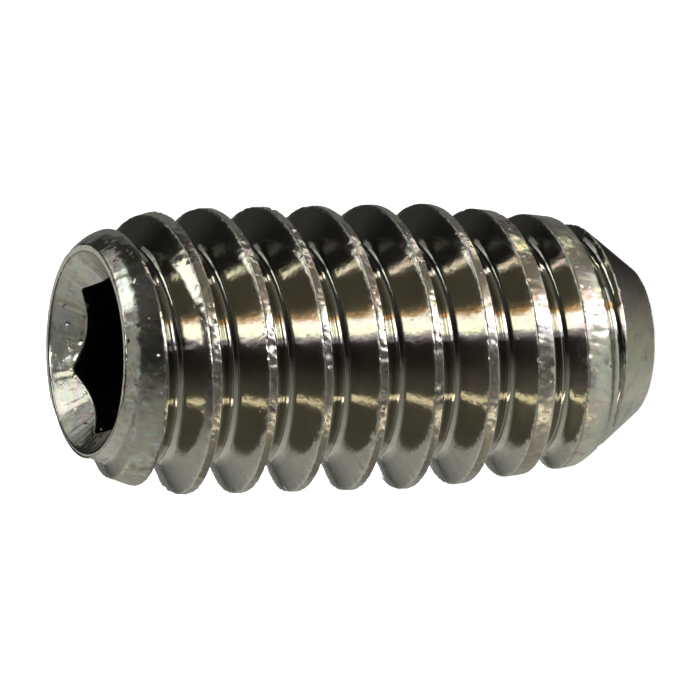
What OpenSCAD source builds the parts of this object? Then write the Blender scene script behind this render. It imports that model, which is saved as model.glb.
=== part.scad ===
// Hex-socket set screw (grub screw) with a cup point and a right-hand unified coarse thread.
// It stands on the rim of its cup: z = 0 is that rim, and the axis runs up +Z to the socket end.
// One turned blank loses a helical groove, a drilled and broached socket, and a cup.

/* [Thread] */
// Diameter over the crests
major_d = 6.12; // [5.4:0.01:8]
// Distance along the axis from one crest to the next
pitch = 1.27; // [1:0.01:1.6]
// Angle about the axis at which a crest comes up to the socket end face
thread_turn = 62; // [0:1:359]

/* [Body] */
// Length from the rim of the cup to the socket end face
length = 12.5; // [10:0.05:16]

/* [Socket end] */
// Slope of the chamfer round the end face, from the axis
face_chamfer_angle = 25.5; // [20:0.5:50]
// Width of the flat ring left between the chamfer and the countersunk mouth
face_ring_w = 0.15; // [0.08:0.01:0.4]
// How far the countersunk mouth reaches past the corners of the hexagon
mouth_margin = 0.36; // [0.2:0.01:0.5]
// Full angle of the countersunk mouth
mouth_angle = 90; // [80:5:120]
// Width of the hexagon across its flats
socket_af = 3.175; // [2.6:0.025:3.85]
// Depth of the hexagon below the end face
socket_depth = 3.6; // [2.8:0.1:4.4]
// Angle that the hexagon is turned through about the axis
socket_turn = 41; // [0:1:59]
// How much smaller than the hexagon's flats the drilled hole is, across
drill_allowance = 0.125; // [0.1:0.025:0.6]
// How far the drilled hole runs on below the hexagon, to the shoulder of its cone
drill_run_on = 0.5; // [0.1:0.1:1]

/* [Cup point] */
// Outer diameter of the rim of the cup
rim_d = 3.2; // [2.4:0.05:3.85]
// Width of the flat rim that the screw stands on
rim_w = 0.1; // [0.05:0.01:0.2]
// Slope of the point's cone, from the axis
point_angle = 37.5; // [30:0.5:50]
// Height at which the shallow lead reaches the full diameter
lead_height = 4.7; // [3:0.1:6.5]
// Slope of the shallow lead, from the axis
lead_angle = 6.5; // [4:0.5:10]

/* [Hidden] */
round_faces = 96;
drill_tip_angle = 118;    // full angle of the drills that make the socket and the cup
past = 0.5;               // how far a cutting tool runs past the face that it cuts

// Unified thread form: 60 degree flanks, crest flat of an eighth of a pitch, rounded root
flank_angle = 30;
thread_depth = pitch * cos(flank_angle) * 17 / 24;
root_radius = pitch * cos(flank_angle) / 6;
root_arc_steps = 4;
crest_overrun = 0.08;     // how far the groove's tool stands out past the crests
steps_a_turn = 48;        // flat lengths in one turn of the groove

major_r = major_d / 2;
root_r = major_r - thread_depth;

// The two ends of the blank
mouth_r = socket_af / 2 / cos(30) + mouth_margin;
face_r = mouth_r + face_ring_w;
face_chamfer_h = (major_r - face_r) / tan(face_chamfer_angle);
rim_r = rim_d / 2;
lead_foot_r = major_r - lead_height * tan(lead_angle);
cone_h = (lead_foot_r - rim_r) / (tan(point_angle) - tan(lead_angle));
cone_top_r = rim_r + cone_h * tan(point_angle);

// The blank's outline as turned on the lathe: rim, point cone, shallow lead, body, chamfer, face
module blank() {
    rotate_extrude($fn = round_faces)
        polygon([
            [0, 0],
            [rim_r, 0],
            [cone_top_r, cone_h],
            [major_r, lead_height],
            [major_r, length - face_chamfer_h],
            [face_r, length],
            [0, length]
        ]);
}

// Cross-section of the groove as [radius, height] points, from the lower flank round the root
// to the upper flank. The root arc spans the 120 degrees between the two flanks.
function groove_section() =
    let (
        arc_half = 90 - flank_angle,
        outer_r = major_r + crest_overrun,
        outer_half = root_radius * sin(arc_half)
            + (outer_r - root_r - root_radius * (1 - cos(arc_half))) * tan(flank_angle)
    )
    concat(
        [[outer_r, -outer_half]],
        [for (i = [0:root_arc_steps])
            let (a = -arc_half + 2 * arc_half * i / root_arc_steps)
            [root_r + root_radius * (1 - cos(a)), root_radius * sin(a)]],
        [[outer_r, outer_half]]
    );

// The groove's section carried along a right-hand helix, from below the point, where it cuts
// nothing, to clear above the end face. Turns count back from the top, where the groove lies
// opposite the crest that thread_turn places. Half a step keeps its rings off the blank's seam.
module thread_groove() {
    section = groove_section();
    n = len(section);
    rings = steps_a_turn * ceil(length / pitch + 1.5);
    points = [
        for (i = [0:rings])
            let (
                turns = (i - rings + 0.5) / steps_a_turn,
                a = thread_turn + 180 + 360 * turns,
                z = length + pitch + pitch * turns
            )
            for (p = section)
                [p[0] * cos(a), p[0] * sin(a), z + p[1]]
    ];
    sides = [
        for (i = [0:rings - 1])
            for (j = [0:n - 1])
                let (k = (j + 1) % n)
                [i * n + j, (i + 1) * n + j, (i + 1) * n + k, i * n + k]
    ];
    first_end = [[for (j = [0:n - 1]) j]];
    last_end = [[for (j = [0:n - 1]) rings * n + n - 1 - j]];
    polyhedron(points, concat(first_end, sides, last_end), convexity = 20);
}

// Drilled hole with its tip, the broached hexagon, and the countersink that leads the key in
module socket() {
    drill_r = (socket_af - drill_allowance) / 2;
    drill_tip_h = drill_r / tan(drill_tip_angle / 2);
    shoulder_z = length - socket_depth - drill_run_on;
    mouth_slope = tan(mouth_angle / 2);
    mouth_h = mouth_r / mouth_slope;
    translate([0, 0, shoulder_z - drill_tip_h])
        cylinder(h = drill_tip_h, r1 = 0, r2 = drill_r, $fn = round_faces);
    translate([0, 0, shoulder_z])
        cylinder(h = socket_depth + drill_run_on, r = drill_r, $fn = round_faces);
    translate([0, 0, length - socket_depth])
        rotate([0, 0, socket_turn])
            cylinder(h = socket_depth + past, d = socket_af / cos(30), $fn = 6);
    translate([0, 0, length - mouth_h])
        cylinder(h = mouth_h + past, r1 = 0, r2 = mouth_r + past * mouth_slope,
            $fn = round_faces);
}

// The cup: a drill's cone sunk into the point, which leaves the narrow flat rim
module cup() {
    cup_r = rim_r - rim_w;
    cup_slope = tan(drill_tip_angle / 2);
    translate([0, 0, -past])
        cylinder(h = past + cup_r / cup_slope, r1 = cup_r + past * cup_slope, r2 = 0,
            $fn = round_faces);
}

module set_screw() {
    color("silver")
        difference() {
            blank();
            thread_groove();
            socket();
            cup();
        }
}

set_screw();
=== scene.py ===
import math

import bpy
import numpy as np
from mathutils import Matrix, Vector


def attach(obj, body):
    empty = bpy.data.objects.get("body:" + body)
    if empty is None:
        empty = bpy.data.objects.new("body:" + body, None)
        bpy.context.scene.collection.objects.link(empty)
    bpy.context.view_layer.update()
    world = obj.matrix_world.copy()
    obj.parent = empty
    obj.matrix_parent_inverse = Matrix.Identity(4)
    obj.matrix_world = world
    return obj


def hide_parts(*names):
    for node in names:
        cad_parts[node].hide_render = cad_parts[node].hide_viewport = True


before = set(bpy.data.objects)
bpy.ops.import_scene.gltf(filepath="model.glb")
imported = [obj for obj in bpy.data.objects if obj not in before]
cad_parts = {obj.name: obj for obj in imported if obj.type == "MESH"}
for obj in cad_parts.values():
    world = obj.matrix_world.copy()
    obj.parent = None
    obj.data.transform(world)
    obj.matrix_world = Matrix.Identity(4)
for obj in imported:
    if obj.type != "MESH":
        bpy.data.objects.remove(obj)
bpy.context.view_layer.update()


def slope(degrees):
    """Gain in radius for each unit of height of a surface that leans so far from the axis: its tangent."""
    return math.tan(math.radians(degrees))


# Sizes of the screw in millimetres; the mesh is scaled to metres as it is made.
MM = 0.001
LENGTH = 12.5            # rim of the cup to the socket end face
CENTRE = Vector((0, 0, LENGTH / 2)) * MM

# Thread: unified form, with 60 degree flanks and a rounded root
MAJOR_R = 3.06           # crest radius
PITCH = 1.27
THREAD_TURN = 62.0       # azimuth at which a crest meets the end face, degrees
FLANK_SLOPE = slope(30)
SHARP_DEPTH = PITCH * math.cos(math.radians(30))   # depth of the sharp triangle that the form is cut from
ROOT_RHO = SHARP_DEPTH / 6
ROOT_R = MAJOR_R - SHARP_DEPTH * 17 / 24

# Socket: hexagon, countersunk mouth, drilled hole with a 118 degree tip
HEX_R = 3.175 / 2        # axis to a flat
HEX_CORNER_R = HEX_R / math.cos(math.radians(30))
HEX_TURN = 41.0          # azimuth of a corner
HEX_DEPTH = 3.6
MOUTH_R = HEX_CORNER_R + 0.36
DRILL_R = 1.525
DRILL_DEPTH = 4.1
TIP_SLOPE = slope(59)

# Socket end: a 25.5 degree chamfer round the flat ring, worn into two slopes. Each worn slope is a
# line: how far outside the ring it meets the end face's plane, and its gain in radius below there.
FACE_R = MOUTH_R + 0.15
CHAMFER_START = LENGTH - (MAJOR_R - FACE_R) / slope(25.5)
WORN_SHALLOW = (0.164, 0.333)
WORN_STEEP = (0.01, 0.95)
RING_BEVEL = 0.78        # gain of the bevel worn on the ring, 52 degrees to the end face

# Point: cup with a narrow flat rim, steep cone, shallow lead
RIM_R, RIM_W = 1.6, 0.1
POINT_SLOPE = slope(37.5)
LEAD_SLOPE = slope(6.5)
LEAD_TOP = 4.7
LEAD_FOOT = MAJOR_R - LEAD_TOP * LEAD_SLOPE
LEAD_START = (LEAD_FOOT - RIM_R) / (POINT_SLOPE - LEAD_SLOPE)

# Mesh
LOW, HIGH = 0.03, LENGTH - 0.22   # where the outside surface hands over to the end pieces
COLUMNS = 420                     # vertices round the axis; a multiple of 6 keeps hexagon corners sharp
TURNS = math.ceil(LENGTH / PITCH) + 3
SAME_HEIGHT = 1e-4                # rows nearer than this share a vertex
CHAMFER_ROWS = (0.07, 0.17, 0.30, 0.46, 0.66, 0.92)   # extra rows on the chamfer, down from HIGH


def smooth_min(a, b, k):
    """The lesser of a and b, rounded where they cross: half of (a + b - root((a - b)^2 + k^2))."""
    return 0.5 * (a + b - np.sqrt((a - b) ** 2 + k * k))


def blank_radius(z):
    """Radius of the turned blank at height z: the least of five lines, which are the point cone, the
    shallow lead, the crest cylinder, and the end chamfer worn into a shallow slope and a steep one,
    with their corners rounded a little."""
    r = smooth_min(RIM_R + z * POINT_SLOPE, LEAD_FOOT + z * LEAD_SLOPE, 0.05)
    r = smooth_min(r, MAJOR_R + 0 * z, 0.01)
    for (past_ring, gain), rounding in ((WORN_SHALLOW, 0.08), (WORN_STEEP, 0.10)):
        r = smooth_min(r, FACE_R + past_ring + (LENGTH - z) * gain, rounding)
    return r


def groove_radius(t):
    """Radius of the thread's groove at t along the axis from its middle: a circular arc round the
    root for 60 degrees each side, then a straight flank at 30 degrees from the radius."""
    t = np.abs(t)
    edge = ROOT_RHO * math.sin(math.radians(60))
    arc = ROOT_R + ROOT_RHO - np.sqrt(np.maximum(ROOT_RHO ** 2 - np.minimum(t, edge) ** 2, 0))
    return arc + np.maximum(t - edge, 0) / FLANK_SLOPE


def groove_offset(z, turn):
    """Distance along the axis from the middle of the nearest groove, for a right-hand helix whose
    crest meets the end face at THREAD_TURN: the phase of z against the turn, wrapped to a pitch."""
    phase = (z - LENGTH) / PITCH - (turn - THREAD_TURN) / 360
    return (np.mod(phase, 1.0) - 0.5) * PITCH


def noise(points, size, waves=36, seed=0):
    """Smooth seeded noise of roughly unit size: a sum of sine waves of random direction and phase
    whose wavelengths lie round the given size."""
    local = np.random.default_rng(seed)
    way = local.normal(size=(waves, 3))
    way /= np.linalg.norm(way, axis=1)[:, None]
    way *= (2 * np.pi / size) * local.uniform(0.6, 1.6, waves)[:, None]
    total = np.sin(points @ way.T + local.uniform(0, 2 * np.pi, waves)).sum(axis=1)
    return total * math.sqrt(2 / waves)


def groove_edges(middle):
    """For grooves centred at the given heights: where each lies deepest below the blank, and where its
    lower and upper flanks meet the blank, as offsets along the axis. Both edges come from halving the
    interval where groove radius minus blank radius changes sign; a groove that never cuts the blank
    has all three in one place."""
    t = np.linspace(-PITCH / 2, PITCH / 2, 121)[:, None, None]
    gap = groove_radius(t) - blank_radius(middle[None] + t)
    deepest = np.take_along_axis(np.broadcast_to(t, gap.shape), gap.argmin(axis=0)[None], axis=0)[0]
    cuts = gap.min(axis=0) < 0
    edges = []
    for side in (-1, 1):
        far, near = np.full_like(deepest, side * PITCH / 2), deepest.copy()
        for _ in range(30):
            half = (far + near) / 2
            inside = groove_radius(half) - blank_radius(middle + half) < 0
            near, far = np.where(inside, half, near), np.where(inside, far, half)
        edges.append(np.where(cuts, near, deepest))
    return deepest, edges[0], edges[1]


def outside_grid():
    """Heights of the outside surface's rows, one column for each azimuth and one spiral of rows for
    each turn. In a turn the rows run across one groove, from the edge where its lower flank leaves
    the blank to the edge where its upper flank meets it, and then across the land to the next groove.
    They crowd towards the groove's edges and its root. The land also has rows where the blank's
    outline bends and down the worn chamfer."""
    azimuth = HEX_TURN + 360.0 * np.arange(COLUMNS + 1) / COLUMNS
    k = np.arange(TURNS + 1)[:, None]
    middle = LENGTH + PITCH * ((azimuth - THREAD_TURN) / 360 + 0.5 + k - TURNS)
    deepest, lower, upper = groove_edges(middle)
    share = np.array([1, 0.985, 0.93, 0.82, 0.62, 0.42, 0.2857, 0.15])
    rows = [middle + deepest + (lower - deepest) * f for f in share] + [middle + deepest]
    rows += [middle + deepest + (upper - deepest) * f for f in share[::-1]]
    start, stop = (middle + upper)[:-1], (middle + lower)[1:]
    stop = np.maximum(start, stop)
    land = [start + (stop - start) * f for f in (0.1, 0.5, 0.9)]
    breaks = [LEAD_START - 0.05, LEAD_START, LEAD_START + 0.05, CHAMFER_START]
    breaks += [HIGH - drop for drop in CHAMFER_ROWS]
    land += [np.clip(b, start, stop) for b in breaks]
    land = np.sort(np.stack(land, axis=1), axis=1)
    groove = np.stack([r[:-1] for r in rows], axis=1)
    grid = np.concatenate([groove, land], axis=1)
    return azimuth, np.clip(grid.reshape(-1, COLUMNS + 1), LOW, HIGH), grid.shape[1]


def number_spiral(z, per_turn):
    """Vertex numbers on the spiral grid, counted column by column, so that rows squeezed to the same
    height share one vertex, and the last column is the first column one turn further on. Also gives
    each column's lowest and highest vertex, and the column and height of every vertex."""
    fresh = np.diff(z, axis=0) > SAME_HEIGHT
    number = np.concatenate([np.zeros((1, COLUMNS + 1), int), np.cumsum(fresh, axis=0)])
    top = number[-1, :COLUMNS]
    base = np.concatenate([[0], np.cumsum(top + 1)])
    number = number[:, :COLUMNS] + base[None, :COLUMNS]
    last = np.concatenate([number[per_turn:, 0], np.full(per_turn, base[0] + top[0])])
    grid = np.concatenate([number, last[:, None]], axis=1)
    low_ids, high_ids = base[:COLUMNS], base[:COLUMNS] + top
    column = np.repeat(np.arange(COLUMNS), top + 1)
    height = np.empty(base[COLUMNS])
    height[number] = z[:, :COLUMNS]
    height[high_ids] = HIGH
    return grid, low_ids, high_ids, column, height


def worn_outside(height, turn):
    """Radius of the outside surface at each height and azimuth, and its finish. The radius is the
    lesser of groove and blank, rounded at the crests' edges, less nicks and torn metal near those
    edges and on the two ends, plus burrs that stand into the groove, and never past the blank. All
    are seeded noise, thresholded where it has to come in spots. The finish is wear, which fades with
    distance from the crest, rough, which covers the chamfer and the lead, and the distance across
    the groove."""
    offset = groove_offset(height, turn)
    blank, groove = blank_radius(height), groove_radius(offset)
    radius = smooth_min(groove, blank, 0.012)
    edge = np.where(groove > blank, 1.0, np.exp(-((groove - blank) / 0.05) ** 2))
    angle = np.radians(turn)
    spot = np.stack([radius * np.cos(angle), radius * np.sin(angle), height], axis=1)
    patchy = np.clip(noise(spot, 1.6, seed=4) + 0.8, 0, 1.5)
    chip = np.clip(noise(spot, 0.30, seed=3) - 0.4, 0, 2) * patchy
    fine = noise(spot, 0.17, seed=5)
    ends = np.clip((height - CHAMFER_START + 0.1) / 0.4, 0, 1)
    ends += np.clip((LEAD_START + 0.15 - height) / 0.3, 0, 1)
    calm = 1 - 0.65 * np.clip(ends, 0, 1)
    torn = edge * (0.010 * chip + 0.005 * np.abs(fine)) * calm
    torn += ends * 0.008 * np.clip(noise(spot, 0.6, seed=6) - 0.6, 0, 2)
    burr = 0.010 * np.clip(-fine, 0, 2) * patchy * edge * (groove < blank)
    lead = 0.55 * np.clip((3.3 - height) / 1.2, 0, 1)
    rough = np.clip(ends + lead, 0, 1) * (groove > blank - 0.02)
    return np.minimum(radius - torn + burr, blank), edge * calm, rough, np.abs(offset)


def hexagon_radius(azimuth, corner):
    """Distance from the axis to the hexagon's wall: the flat's distance over the cosine of the angle
    from the middle of that flat, with the corner rounded by a smooth minimum."""
    u = np.mod(azimuth - HEX_TURN, 60) - 30
    r = HEX_R / np.cos(np.radians(u))
    return smooth_min(r, HEX_CORNER_R - corner + 0 * r, corner * 0.6)


def bend(a, b, c, steps):
    """Points of the parabola from a to c that is drawn towards the corner b."""
    s = np.linspace(0, 1, steps)[:, None, None]
    return (1 - s) ** 2 * a + 2 * s * (1 - s) * b + s ** 2 * c


def pair(r, z):
    """Radius and height of one row of an end piece, as an array with a column for each azimuth."""
    return np.stack([r + np.zeros(COLUMNS), z + np.zeros(COLUMNS)])


def mouth_cone_rows(lip, foot, azimuth):
    """Rows of the countersunk mouth from its lip to its foot: even steps between the two, sunk by a
    little and by the reamer's chatter, which is a sum of sines round the axis."""
    chatter = sum(np.sin(np.radians(azimuth) * n + n * n) for n in (23, 37, 54, 71)) * 0.0022
    cone = [lip + (foot - lip) * s for s in (0.17, 0.33, 0.5, 0.67, 0.83, 1.0)]
    for row, share in zip(cone, (0.5, 1, 1, 1, 1, 0.6)):
        row[1] -= (chatter + 0.009) * share
    return cone


def socket_rows(azimuth, start_r):
    """The socket end's rows, from the outside surface inwards: the bevel worn on the flat ring, what
    is left of the ring, the rounded lip of the mouth, the mouth's cone down to the hexagon's wavy
    edge, the hexagon's walls, the shoulder, the drilled wall and the drilled tip. Also gives the
    height of the tip's end."""
    lip = 0.04               # rounding of the mouth's lip
    soft = 0.03              # rounding of the hexagon's corners and of its wavy edge
    r_hex = hexagon_radius(azimuth, soft)
    z_hex = LENGTH - (MOUTH_R - r_hex)
    inner = pair(MOUTH_R + lip, LENGTH)
    bevel_r = start_r - (LENGTH - HIGH) * RING_BEVEL
    rows = [pair(start_r + (bevel_r - start_r) * s, HIGH + (LENGTH - HIGH) * s)
            for s in (0.2, 0.45, 0.7, 0.86)]
    crown = pair(np.minimum(bevel_r - 0.02, FACE_R), LENGTH)
    rows += list(bend(rows[-1], pair(bevel_r, LENGTH), crown, 4))[1:]
    rows += [rows[-1] + (inner - rows[-1]) * s for s in (0.5, 1.0)]
    rows += list(bend(inner, pair(MOUTH_R, LENGTH), pair(MOUTH_R - lip * 0.8, LENGTH - lip * 0.8), 4))[1:]
    foot = pair(r_hex + 0.025, z_hex + 0.025)
    rows += mouth_cone_rows(rows[-1], foot, azimuth)
    rows += list(bend(foot, pair(r_hex, z_hex), pair(r_hex, z_hex - soft), 4))[1:]
    floor_z = LENGTH - HEX_DEPTH
    rows += [pair(r_hex, z_hex - soft + (floor_z - z_hex + soft) * s) for s in (0.12, 0.3, 0.6, 1.0)]
    shoulder_z = LENGTH - DRILL_DEPTH
    rows += [pair(DRILL_R, floor_z), pair(DRILL_R, shoulder_z)]
    rows += [pair(DRILL_R * s, shoulder_z - DRILL_R * (1 - s) / TIP_SLOPE) for s in (0.66, 0.33)]
    return np.stack(rows), shoulder_z - DRILL_R / TIP_SLOPE


def point_rows(start_r):
    """The cup point's rows, from the cup's middle outwards: its cone, its rounded inner lip, the flat
    rim, and the rounded outer edge up to the outside surface. Also gives the height of the cup's
    middle."""
    cup_r = RIM_R - RIM_W
    rows = [pair(cup_r * s, cup_r * (1 - s) / TIP_SLOPE) for s in (0.25, 0.5, 0.75, 0.9)]
    lip = pair(cup_r - 0.02, 0.02 / TIP_SLOPE)
    rows += list(bend(lip, pair(cup_r, 0), pair(cup_r + 0.015, 0), 3))
    rows += list(bend(pair(RIM_R - 0.03, 0), pair(RIM_R - 0.004, 0), pair(start_r, LOW), 4))[:-1]
    return np.stack(rows), cup_r / TIP_SLOPE


def strip(rows):
    """Two triangles for each cell between neighbouring rows, facing outwards, without those that
    have shrunk to a line."""
    a, b, c, d = rows[:-1, :-1], rows[:-1, 1:], rows[1:, 1:], rows[1:, :-1]
    halves = [np.stack(corners, -1).reshape(-1, 3) for corners in ([a, b, c], [a, c, d])]
    tri = np.concatenate(halves)
    whole = (tri[:, 0] != tri[:, 1]) & (tri[:, 1] != tri[:, 2]) & (tri[:, 2] != tri[:, 0])
    return tri[whole]


def wrap(ids):
    """Rows of vertex numbers with the first column repeated at the end, so that they close round."""
    return np.concatenate([ids, ids[:, :1]], axis=1)


def screw_mesh():
    """Joins the spiral outside, the socket end and the cup point into one closed surface: points in
    metres, triangles, and the finish at each point, with inside marking where the socket is painted
    dark as painted shade."""
    azimuth, z, per_turn = outside_grid()
    grid, low_ids, high_ids, column, height = number_spiral(z, per_turn)
    turn, azimuth = azimuth[column], azimuth[:COLUMNS]
    radius, wear_out, rough_out, across_out = worn_outside(height, turn)

    count = len(height)
    ring = np.arange(COLUMNS)
    s_rows, tip_z = socket_rows(azimuth, radius[high_ids])
    p_rows, cup_z = point_rows(radius[low_ids])
    s_ids = count + np.arange(len(s_rows))[:, None] * COLUMNS + ring[None]
    p_ids = count + s_ids.size + np.arange(len(p_rows))[:, None] * COLUMNS + ring[None]
    tip = count + s_ids.size + p_ids.size
    cup = tip + 1
    r = np.concatenate([radius, s_rows[:, 0].ravel(), p_rows[:, 0].ravel(), [0, 0]])
    h = np.concatenate([height, s_rows[:, 1].ravel(), p_rows[:, 1].ravel(), [tip_z, cup_z]])
    a = np.radians(np.concatenate([turn, np.tile(azimuth, len(s_rows) + len(p_rows)), [0, 0]]))
    verts = np.stack([r * np.cos(a), r * np.sin(a), h], axis=1)

    bottom = np.concatenate([np.full((1, COLUMNS), cup), p_ids, low_ids[None]])
    crown = np.concatenate([high_ids[None], s_ids, np.full((1, COLUMNS), tip)])
    faces = np.concatenate([strip(grid), strip(wrap(bottom)), strip(wrap(crown))])

    wear, inside = np.zeros(len(verts)), np.zeros(len(verts))
    rough, across = np.ones(len(verts)), np.full(len(verts), PITCH / 2)
    wear[:count], rough[:count], across[:count] = wear_out, rough_out, across_out
    below_mouth = 8          # rows of the hexagon's walls, the shoulder and the drilled hole
    # inside marks the socket's walls and hole, where the steel is painted dark: painted shade for the
    # hollow.
    inside[s_ids[-below_mouth:].ravel()] = 1
    inside[tip] = 1
    return verts * MM, faces, dict(wear=wear, inside=inside, rough=rough, across=across)


def add_attribute(mesh, key, values):
    """Stores one number for each point of the mesh under the name key."""
    layer = mesh.attributes.new(key, "FLOAT", "POINT")
    layer.data.foreach_set("value", values.astype(np.float32))


def make_piece(name, verts, faces, attributes):
    """A closed smooth-shaded mesh object from arrays, with a float attribute for each array given."""
    mesh = bpy.data.meshes.new(name)
    mesh.vertices.add(len(verts))
    mesh.vertices.foreach_set("co", verts.astype(np.float32).ravel())
    mesh.loops.add(faces.size)
    mesh.loops.foreach_set("vertex_index", faces.astype(np.int32).ravel())
    mesh.polygons.add(len(faces))
    mesh.polygons.foreach_set("loop_start", np.arange(0, faces.size, 3, dtype=np.int32))
    mesh.update(calc_edges=True)
    mesh.validate()
    mesh.shade_smooth()
    for key, values in attributes.items():
        add_attribute(mesh, key, values)
    piece = bpy.data.objects.new(name, mesh)
    bpy.context.scene.collection.objects.link(piece)
    return piece


def node(tree, kind, values=None, **settings):
    """Adds a node with its settings, its named or numbered inputs set or linked from other sockets."""
    made = tree.nodes.new(kind)
    for key, value in settings.items():
        setattr(made, key, value)
    for key, value in (values or {}).items():
        socket = made.inputs[key]
        if isinstance(value, bpy.types.NodeSocket):
            tree.links.new(value, socket)
        else:
            socket.default_value = value
    return made


def math_node(tree, operation, a, b=None, clamp=False):
    """Result of one sum on two numbers or sockets."""
    values = {0: a} if b is None else {0: a, 1: b}
    return node(tree, "ShaderNodeMath", values, operation=operation, use_clamp=clamp).outputs[0]


def add(tree, a, b):
    """The sum a + b."""
    return math_node(tree, "ADD", a, b)


def times(tree, a, b):
    """The product a times b."""
    return math_node(tree, "MULTIPLY", a, b)


def ramp(tree, value, start, gain):
    """Rises from 0 at start by gain for each unit and stops at 1; a negative gain falls instead."""
    return math_node(tree, "MULTIPLY", math_node(tree, "SUBTRACT", value, start), gain, clamp=True)


def vector_node(tree, operation, a, b, output="Vector"):
    """Result of one sum on two vectors, or on a vector and a number for SCALE."""
    values = {0: a, ("Scale" if operation == "SCALE" else 1): b}
    return node(tree, "ShaderNodeVectorMath", values, operation=operation).outputs[output]


def mix_colour(tree, share, a, b):
    """Colour that goes from a to b as share goes from 0 to 1."""
    return node(tree, "ShaderNodeMix", {0: share, 6: a, 7: b}, data_type="RGBA").outputs[2]


def noise_node(tree, vector, scale, detail=3.0, roughness=0.6, output="Fac"):
    """Smooth cloud noise between 0 and 1; scale is in waves a metre of the vector's space."""
    values = {"Vector": vector, "Scale": scale, "Detail": detail, "Roughness": roughness}
    return node(tree, "ShaderNodeTexNoise", values).outputs[output]


def colour_noise(tree, vector, scale):
    """A vector of three smooth cloud noises round zero."""
    clouds = noise_node(tree, vector, scale, 2.0, output="Color")
    return vector_node(tree, "SUBTRACT", clouds, (0.5, 0.5, 0.5))


def attribute(tree, name):
    """The piece's own number for each point that is stored under this name."""
    return node(tree, "ShaderNodeAttribute", attribute_name=name).outputs["Fac"]


def blank_material(name):
    """An empty node material and its tree."""
    material = bpy.data.materials.new(name)
    material.use_nodes = True
    material.node_tree.nodes.clear()
    return material, material.node_tree


def cutter_marks(tree, coords):
    """Fine marks that run along the thread: noise on the distance across the groove and the distance
    from the axis, drawn out round the axis."""
    x, y, _ = node(tree, "ShaderNodeSeparateXYZ", {0: coords}).outputs
    axial = node(tree, "ShaderNodeCombineXYZ", {0: x, 1: y, 2: 0.0}).outputs[0]
    radius = vector_node(tree, "LENGTH", axial, (0, 0, 0), "Value")
    round_way = vector_node(tree, "SCALE", vector_node(tree, "NORMALIZE", axial, (0, 0, 0)), 0.6)
    across = times(tree, attribute(tree, "across"), 9.0)
    profile = node(tree, "ShaderNodeCombineXYZ", {0: across, 1: times(tree, radius, 9000.0), 2: 0.0})
    return noise_node(tree, vector_node(tree, "ADD", profile.outputs[0], round_way), 1.0, 2.0)


def steel_material():
    """Machined stainless steel. Its colour goes between two greys by cloud noise, darkens in patches
    of stain, lightens on the worn crests, takes faint hues where it is rough, and is painted dark
    inside the socket, a painted shade for the hollow. It is less polished in the lighter clouds, on
    the ends and most on the crests. Its surface is tilted by the height of cloud, grain and cutter
    marks, by soft waves on the ends and the crests, and by rare strong sparks that glint."""
    material, tree = blank_material("stainless_steel_machined")
    coords = node(tree, "ShaderNodeTexCoord").outputs["Object"]
    wear, inside, rough = (attribute(tree, name) for name in ("wear", "inside", "rough"))
    harsh = math_node(tree, "MAXIMUM", wear, rough)
    cloud = noise_node(tree, coords, 900.0, 4.0)
    stain = noise_node(tree, coords, 2300.0, 4.0, 0.7)
    grain = noise_node(tree, coords, 9000.0)
    waves, sparks = colour_noise(tree, coords, 4200.0), colour_noise(tree, coords, 8000.0)

    steel = mix_colour(tree, cloud, (0.375, 0.368, 0.32, 1), (0.53, 0.525, 0.465, 1))
    patch = ramp(tree, stain, 0.54, 5.0)
    stained = times(tree, patch, add(tree, times(tree, rough, 0.45), 0.30))
    steel = mix_colour(tree, stained, steel, (0.17, 0.16, 0.13, 1))
    steel = mix_colour(tree, times(tree, wear, 0.5), steel, (0.60, 0.59, 0.53, 1))
    hue = vector_node(tree, "SCALE", waves, times(tree, harsh, 0.22))
    steel = vector_node(tree, "ADD", steel, hue)
    # Painted shade: the socket's walls and drilled hole get a dark colour that stands in for the shade in
    # the hollow.
    steel = mix_colour(tree, inside, steel, (0.13, 0.125, 0.105, 1))

    sheen = add(tree, times(tree, cloud, 0.10), 0.055)
    for part, share in ((rough, 0.08), (wear, 0.17)):
        sheen = add(tree, sheen, times(tree, part, share))

    height = add(tree, cloud, times(tree, grain, 0.3))
    height = add(tree, height, times(tree, cutter_marks(tree, coords), 0.10))
    bump = node(tree, "ShaderNodeBump", {"Strength": 0.25, "Distance": 0.00003, "Height": height})
    rare = ramp(tree, noise_node(tree, coords, 5600.0, 1.0), 0.60, 9.0)
    rare = times(tree, rare, add(tree, harsh, 0.12))
    mild = add(tree, times(tree, rough, 0.22), times(tree, wear, 0.36))
    normal = vector_node(tree, "ADD", bump.outputs[0], vector_node(tree, "SCALE", waves, mild))
    glint = vector_node(tree, "SCALE", sparks, times(tree, rare, 1.6))
    normal = vector_node(tree, "NORMALIZE", vector_node(tree, "ADD", normal, glint), (0, 0, 0))
    shader = node(tree, "ShaderNodeBsdfPrincipled", {"Base Color": steel, "Metallic": 1.0,
                                                    "Roughness": sheen, "Normal": normal})
    node(tree, "ShaderNodeOutputMaterial", {"Surface": shader.outputs[0]})
    return material


def floor_material():
    """A white floor: it keeps the shadow in its diffuse part, and seen directly or in the metal it
    also gives off a plain white of its own."""
    material, tree = blank_material("white_floor")
    path = node(tree, "ShaderNodeLightPath").outputs
    mirrored = math_node(tree, "MAXIMUM", path["Is Glossy Ray"], path["Is Transmission Ray"])
    seen = math_node(tree, "MAXIMUM", path["Is Camera Ray"], mirrored)
    diffuse = node(tree, "ShaderNodeBsdfDiffuse", {"Color": (0.85, 0.85, 0.85, 1)}).outputs[0]
    glow = node(tree, "ShaderNodeEmission", {"Color": (1, 1, 1, 1), "Strength": times(tree, seen, 0.86)})
    both = node(tree, "ShaderNodeAddShader", {0: diffuse, 1: glow.outputs[0]})
    node(tree, "ShaderNodeOutputMaterial", {"Surface": both.outputs[0]})
    return material


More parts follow.
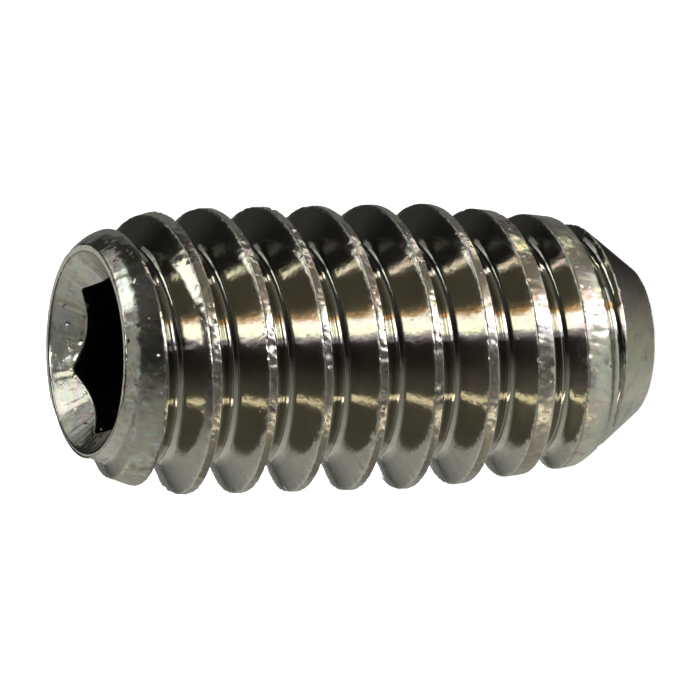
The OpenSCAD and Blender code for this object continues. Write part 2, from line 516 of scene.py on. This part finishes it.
def make_floor(reach):
    """The floor: a square that reaches so many metres each way from the axis."""
    mesh = bpy.data.meshes.new("floor")
    corners = [(-reach, -reach, 0), (reach, -reach, 0), (reach, reach, 0), (-reach, reach, 0)]
    mesh.from_pydata(corners, [], [(0, 1, 2, 3)])
    mesh.materials.append(floor_material())
    floor = bpy.data.objects.new("floor", mesh)
    bpy.context.scene.collection.objects.link(floor)


def studio_world():
    """A dim studio, whose brightness in a direction is a faint even level plus three washes, each a
    product of ramps: the -X side, stronger towards the back and fainter overhead; the front on the
    +X side; and the back on the +X side."""
    world = bpy.data.worlds.new("studio")
    bpy.context.scene.world = world
    world.use_nodes = True
    tree = world.node_tree
    tree.nodes.clear()
    coords = node(tree, "ShaderNodeTexCoord").outputs["Generated"]
    x, y, z = node(tree, "ShaderNodeSeparateXYZ", {0: coords}).outputs
    side = times(tree, ramp(tree, x, -0.2, -2.4), ramp(tree, z, 1.12, -2.6))
    side = times(tree, side, add(tree, times(tree, y, 0.32), 0.48))
    front = times(tree, ramp(tree, x, 0.2, 2.5), ramp(tree, y, 0.0, -3.0))
    back = times(tree, ramp(tree, x, 0.0, 4.0), ramp(tree, y, 0.62, 5.0))
    level = add(tree, side, 0.015)
    for wash, strength in ((front, 0.05), (back, 0.035)):
        level = add(tree, level, times(tree, wash, strength))
    sky = node(tree, "ShaderNodeBackground", {"Color": (1.0, 0.99, 0.93, 1), "Strength": level})
    node(tree, "ShaderNodeOutputWorld", {"Surface": sky.outputs[0]})


def lamp(name, way, wide, long, radiance, colour=(1, 1, 1), along=(0, 0, 1), distance=0.25):
    """A rectangular lamp seen from the screw in direction way, wide and long in degrees, its long
    side turned towards along, and as bright as radiance: power is radiance times pi times area."""
    way = Vector(way).normalized()
    long_axis = Vector(along) - way * Vector(along).dot(way)
    long_axis.normalize()
    data = bpy.data.lights.new(name, "AREA")
    data.shape = "RECTANGLE"
    data.size = 2 * distance * math.tan(math.radians(long / 2))
    data.size_y = 2 * distance * math.tan(math.radians(wide / 2))
    data.energy = radiance * math.pi * data.size * data.size_y
    data.color = colour
    light = bpy.data.objects.new(name, data)
    turn = Matrix((long_axis, way.cross(long_axis), way)).transposed()
    light.matrix_world = Matrix.Translation(CENTRE + way * distance) @ turn.to_4x4()
    light.visible_camera = False
    bpy.context.scene.collection.objects.link(light)


def glow_material(name, colour, near, mottle):
    """Light of the strength stored at each point, times near at 5 mm from the axis, which fades out
    by 14 mm. Mottle tints its colour in soft patches."""
    material, tree = blank_material(name)
    coords = node(tree, "ShaderNodeTexCoord").outputs["Object"]
    out = vector_node(tree, "LENGTH", coords, (0, 0, 0), "Value")
    nearer = node(tree, "ShaderNodeMapRange", {0: out, 1: 0.005, 2: 0.014, 3: near, 4: 1.0}).outputs[0]
    level = times(tree, nearer, attribute(tree, "glow"))
    patches = vector_node(tree, "SCALE", colour_noise(tree, coords, 420.0), mottle)
    tint = vector_node(tree, "ADD", patches, colour)
    emission = node(tree, "ShaderNodeEmission", {"Color": tint, "Strength": level})
    node(tree, "ShaderNodeOutputMaterial", {"Surface": emission.outputs[0]})
    return material


def card(name, start, stop, strength, colour=(1, 1, 1), inner=5.6, outer=42.0, lift=0.02,
         near=1.0, mottle=0.0):
    """A flat sector round the screw's foot that only the metal sees: a dark flag or a glowing strip
    for its reflections. It spans azimuths from start to stop, in degrees from -Y towards +X, and its
    points are the polar grid of two radii and evenly spaced angles. Strength is one number, or pairs
    of azimuth and strength to run between."""
    count = 73
    angle = np.linspace(start, stop, count)
    way = np.stack([np.sin(np.radians(angle)), -np.cos(np.radians(angle)), np.zeros(count)], axis=1)
    points = np.concatenate([way * inner, way * outer]) + np.array([0, 0, lift])
    i = np.arange(count - 1)
    quads = np.stack([i, i + count, i + count + 1, i + 1], axis=1)
    mesh = bpy.data.meshes.new(name)
    mesh.from_pydata((points * MM).tolist(), [], quads.tolist())
    pairs = np.array(strength if isinstance(strength, list) else [(start, strength)], float)
    add_attribute(mesh, "glow", np.tile(np.interp(angle, pairs[:, 0], pairs[:, 1]), 2))
    mesh.materials.append(glow_material(name, colour, near, mottle))
    thing = bpy.data.objects.new(name, mesh)
    thing.visible_camera = thing.visible_diffuse = thing.visible_shadow = False
    bpy.context.scene.collection.objects.link(thing)


def studio_cards():
    """Cards for the thread's flanks, which pass light from the floor to each other, so that their
    bands of brightness follow the azimuth. Wide flags give the plain tones, and narrow strips lie a
    little above them and give the bright lines. The near flags are what the lead and the grooves'
    roots see, and the foot is what the point's cone sees."""
    foot_r, near_r, far_r = 1.62, 3.3, 5.6    # where the foot, the near flags and the rest begin
    lifted = 0.04
    card("flag_black", -42, 6, [(-42, 0.21), (-30, 0.13), (-20, 0.06), (-12, 0.04)], (1, 0.88, 0.84),
         near=1.6, outer=400)
    card("flag_front", 6, 83, 0.19, (1, 0.9, 0.7), outer=400)
    card("flag_side", 83, 109, 0.03, outer=1400)
    card("flag_back", 109, 196, 0.21, (1, 1, 0.96), outer=1400)
    card("flag_upper", 50, 196, 0.20, (1, 1, 0.92), inner=near_r, outer=far_r, mottle=1.2)
    card("flag_low", -122, -42, 0.21, (1, 0.94, 0.76), near=2.0, outer=400)
    card("flag_near", -122, -40, 0.6, (1, 1, 0.9), inner=near_r, outer=far_r)
    card("flag_lead", -40, 2, 0.78, (1, 0.99, 0.92), inner=near_r, outer=far_r, mottle=0.5)
    card("flag_rear", -164, -122, 0.40, (1, 1, 0.9), inner=near_r, outer=400)
    card("strip_rear", 178, 192, 4, (1, 0.98, 0.94), inner=near_r, lift=lifted, mottle=1.0)
    card("strip_violet", 6, 12, 1.3, (0.85, 0.76, 1.0), inner=near_r, lift=lifted)
    card("strip_white", 12, 28, 6, (1, 0.95, 0.93), inner=near_r, lift=lifted, mottle=1.0)
    card("strip_orange", 28, 33, 2.2, (1, 0.58, 0.25), inner=near_r, lift=lifted)
    card("strip_fade", 33, 39, 0.4, (1, 0.85, 0.6), lift=lifted)
    card("thin_strip", 79, 83, 5.5, (1, 0.96, 0.82), lift=lifted, mottle=1.5)
    card("warm_strip", -57, -52, 4, (1, 0.87, 0.65), lift=lifted)
    card("foot", -120, 240, [(-120, 0.42), (-60, 0.50), (-38, 0.62), (-20, 0.52), (0, 0.40), (12, 0.33),
                             (27, 0.21), (40, 0.12), (57, 0.06), (75, 0.03)],
         (1, 0.98, 0.9), inner=foot_r, outer=near_r, mottle=0.5)


def studio_lamps():
    """Lamps for the crests and the floor, then for the mouth and the worn edges round it, and a soft
    one behind."""
    lamp("overhead_strip", (0.055, -0.115, 0.99), 7, 14, 10, (1, 0.97, 0.95), along=(0, 1, 0))
    lamp("key", (0.31, 0.26, 0.914), 13, 18, 2.8, (1, 0.99, 0.9), along=(0.2, 0.21, -0.15))
    lamp("mouth_core", (0.51, -0.173, 0.843), 15, 34, 1.5, (1, 0.98, 0.94), along=(0.23, 0.29, -0.13))
    lamp("mouth_wide", (0.60, 0.04, 0.80), 20, 52, 0.46, (0.97, 1, 0.95), along=(0.23, 0.29, -0.13))
    lamp("mouth_front", (-0.22, -0.31, 0.92), 14, 40, 0.2, (1, 1, 0.93), along=(-0.43, 0.13, -0.06))
    lamp("ring_core", (0.71, -0.20, 0.67), 14, 32, 2.6, (0.95, 1, 0.94), along=(0.13, 0.19, -0.07))
    lamp("mouth_low", (0.73, 0.44, 0.52), 18, 26, 0.32, (1, 1, 0.95), along=(-0.1, 0.5, -0.3))
    lamp("ring_top", (0.82, 0.30, 0.46), 12, 22, 0.42, (1, 1, 0.93), along=(-0.08, 0.35, -0.2))
    lamp("ring_front", (-0.08, -0.57, 0.82), 13, 60, 0.5, (1, 1, 0.92), along=(1, -0.1, 0))
    lamp("back_box", (-0.05, 0.92, 0.38), 20, 22, 0.7, (1, 1, 0.95))


def make_camera(yaw, pitch, roll, frame_width, shift_right, shift_up):
    """A long lens level with the lying screw: +X is up and the socket end is on the left. Yaw turns
    it towards the socket end, pitch lifts it towards +X, and roll turns it about its own line of
    sight, all in degrees. The frame is so wide at the screw, and its middle is shifted from the
    screw's centre by so much, in millimetres."""
    yaw, pitch, roll = (math.radians(v) for v in (yaw, pitch, roll))
    to_camera = Vector((math.sin(pitch), -math.cos(pitch) * math.cos(yaw), math.cos(pitch) * math.sin(yaw)))
    to_camera.normalize()
    up = (Vector((1, 0, 0)) - to_camera * to_camera.x).normalized()
    right = (-to_camera).cross(up)
    right, up = (right * math.cos(roll) - up * math.sin(roll),
                 right * math.sin(roll) + up * math.cos(roll))
    data = bpy.data.cameras.new("camera")
    data.lens = 1000
    data.sensor_width = 36
    distance = frame_width * MM * data.lens / data.sensor_width
    aim = CENTRE + (right * shift_right + up * shift_up) * MM
    turn = Matrix((right, up, to_camera)).transposed()
    camera = bpy.data.objects.new("camera", data)
    camera.matrix_world = Matrix.Translation(aim + to_camera * distance) @ turn.to_4x4()
    bpy.context.scene.collection.objects.link(camera)
    bpy.context.scene.camera = camera


screw = make_piece("set_screw_machined", *screw_mesh())
screw.data.materials.append(steel_material())
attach(screw, "root")
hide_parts("set_screw")

make_floor(1.5)
studio_world()
studio_cards()
studio_lamps()
make_camera(22.0, 0.4, 1.2, frame_width=14.99, shift_right=-0.163, shift_up=-0.056)
bpy.context.scene.view_settings.view_transform = "Standard"
